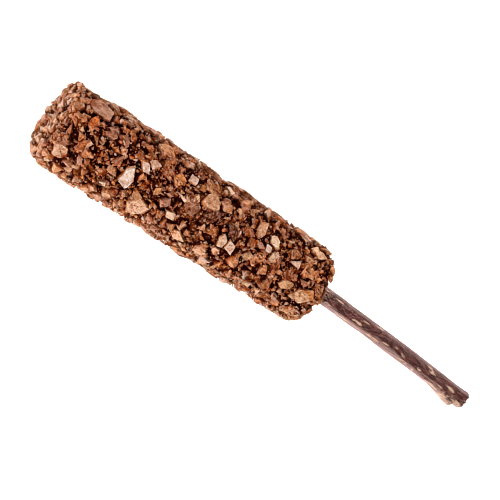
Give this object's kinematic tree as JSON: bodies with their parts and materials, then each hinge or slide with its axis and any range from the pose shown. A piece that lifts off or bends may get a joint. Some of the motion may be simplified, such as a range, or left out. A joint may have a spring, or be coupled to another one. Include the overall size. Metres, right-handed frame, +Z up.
{
  "type": "lollipop",
  "caption": "Finger-shaped chocolate lollipop crusted with broken chocolate flakes, on a bark-covered twig, lying on its side.",
  "frame": {"origin": "on the surface that the lollipop lies on, below the middle of its whole length", "axes": "+X from the head's tip to the twig's cut end, +Z up, and -Y the side that the twig bends towards"},
  "size_m": [0.1576, 0.0251, 0.0248],
  "materials": {
    "chocolate": "matt, dusty broken chocolate",
    "bark": "dry bark, satin, with bare patches"
  },
  "bodies": {
    "root": {"head": "chocolate", "twig": "bark"}
  },
  "joints": []
}
